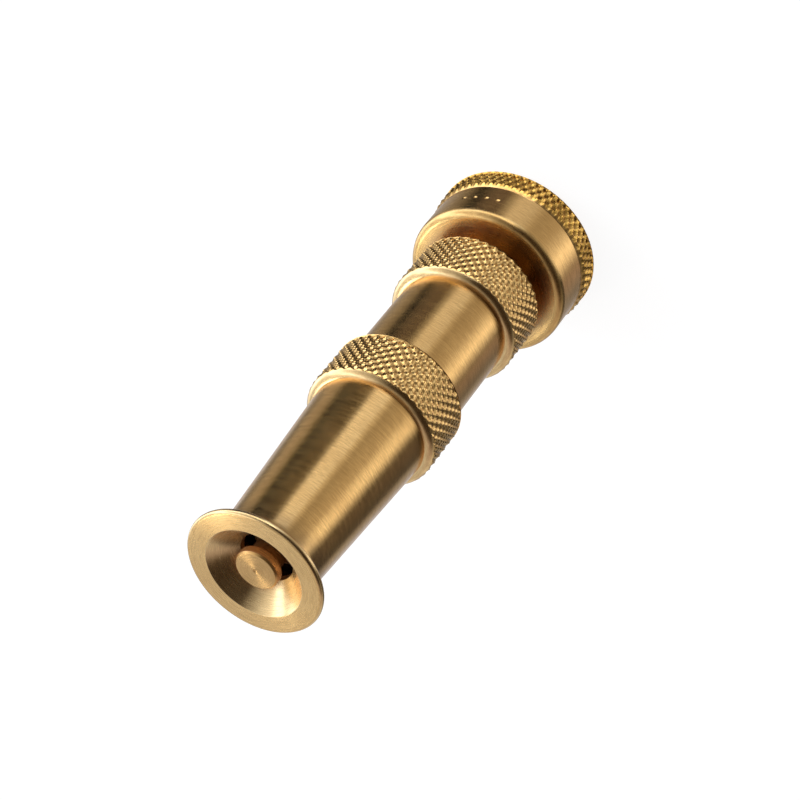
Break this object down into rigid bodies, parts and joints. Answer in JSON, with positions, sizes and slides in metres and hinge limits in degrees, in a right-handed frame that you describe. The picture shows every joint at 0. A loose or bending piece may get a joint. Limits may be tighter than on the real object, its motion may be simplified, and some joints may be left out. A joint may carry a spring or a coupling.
{
  "type": "adjustable hose spray nozzle",
  "caption": "Turned brass twist spray nozzle: flared sleeve screws along a knurled stem over a spray pin, behind a swivelling garden hose coupling.",
  "frame": {"origin": "centre of the hose coupling's rear face, where the nozzle stands upright", "axes": "+Z along the nozzle's axis, the way the water leaves; X and Y are free, because every outside shape is turned about Z"},
  "size_m": [0.033, 0.033, 0.101],
  "materials": {
    "satin_brass": "satin turned brass with fine circumferential tool lines",
    "knurled_brass": "satin turned brass with diamond knurled bands",
    "pin_brass": "faced brass with fine radial sheen",
    "spring_steel": "plain spring steel",
    "black_rubber": "matt moulded nitrile rubber"
  },
  "bodies": {
    "coupling": {"hose_coupling": "knurled_brass", "hose_washer": "black_rubber"},
    "stem": {"stem_body": "satin_brass", "stem_o_ring": "black_rubber", "spray_pin": "pin_brass", "seat_o_ring": "black_rubber", "swivel_retaining_ring": "spring_steel"},
    "sleeve_carrier": {"sleeve_o_ring": "black_rubber"},
    "sleeve": {"twist_sleeve": "satin_brass"}
  },
  "joints": [
    {"name": "stem_swivel", "type": "hinge", "parent": "coupling", "child": "stem", "pos_m": [0, 0, 0.0139], "axis": [0, 0, 1], "continuous": true},
    {"name": "sleeve_advance", "type": "slide", "parent": "stem", "child": "sleeve_carrier", "axis": [0, 0, 1], "range_m": [-0.0028, 0.0032]},
    {"name": "sleeve_twist", "type": "hinge", "parent": "sleeve_carrier", "child": "sleeve", "pos_m": [0, 0, 0.0709], "axis": [0, 0, 1], "range_deg": [-504, 576]}
  ],
  "couplings": [
    {"joint": "sleeve_twist", "follows": "sleeve_advance", "rad_per_m": 3141.6}
  ]
}
